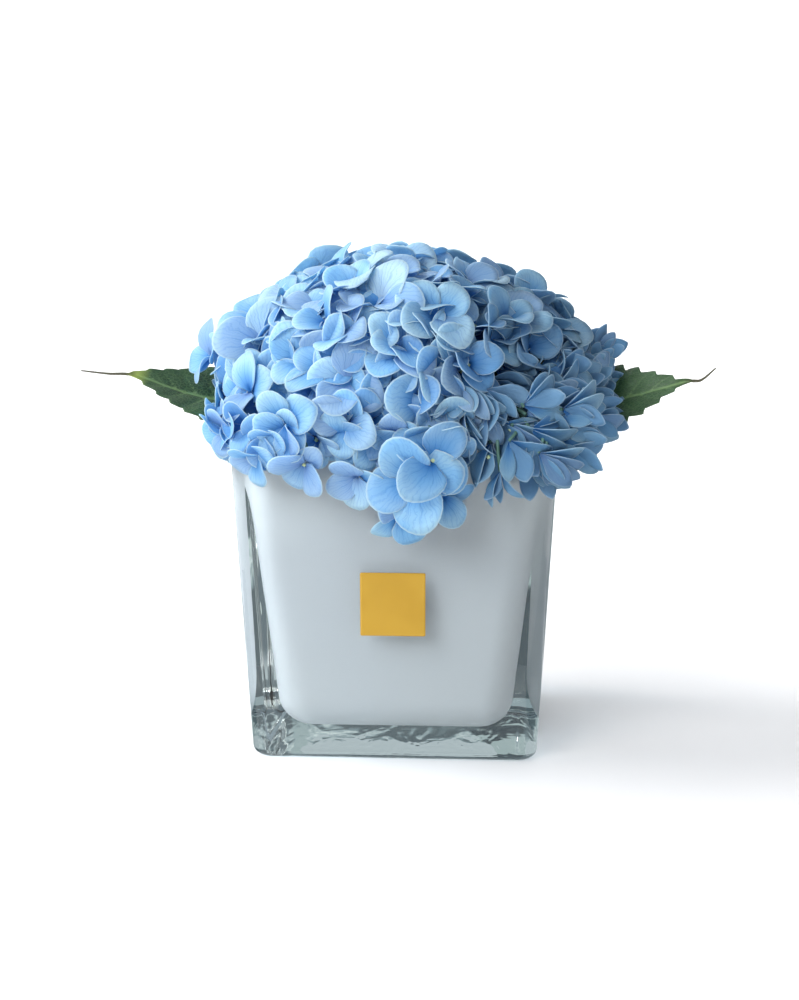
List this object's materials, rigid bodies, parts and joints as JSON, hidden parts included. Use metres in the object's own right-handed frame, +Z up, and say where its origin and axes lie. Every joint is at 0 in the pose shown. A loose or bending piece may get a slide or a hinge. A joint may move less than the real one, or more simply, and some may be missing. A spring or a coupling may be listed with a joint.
{
  "type": "cut hydrangeas in a square glass vase",
  "caption": "Low domed bunch of blue hydrangea heads with toothed leaves, in a square clear glass vase with a white lining and a plain gold label.",
  "frame": {"origin": "centre of the vase's flat underside", "axes": "+Z up; the labelled front of the vase faces -Y; the leaves point along -X and +X"},
  "size_m": [0.2805, 0.1827, 0.2176],
  "materials": {
    "clear_glass": "clear, polished, faint grey-green in the thick edges",
    "white_lining": "opaque white coat, smooth, seen through the glass",
    "wet_foam": "dark green foam soaked with water",
    "gold_label": "plain satin golden yellow sticker",
    "blue_petals": "soft, finely veined petals, sky blue with paler edges",
    "green_stem": "woody green stem",
    "green_leaf": "satin green leaf with a raised net of veins and a dried brown tip"
  },
  "bodies": {
    "root": {"vase_glass": "clear_glass", "vase_lining": "white_lining", "floral_foam": "wet_foam", "label_plate": "gold_label", "bloom_front": "blue_petals", "bloom_left": "blue_petals", "bloom_right": "blue_petals", "bloom_back": "blue_petals", "bloom_crown": "blue_petals", "stem_front": "green_stem", "stem_left": "green_stem", "stem_right": "green_stem", "stem_back": "green_stem", "stem_crown": "green_stem", "leaf_left": "green_leaf", "leaf_right": "green_leaf"}
  },
  "joints": []
}
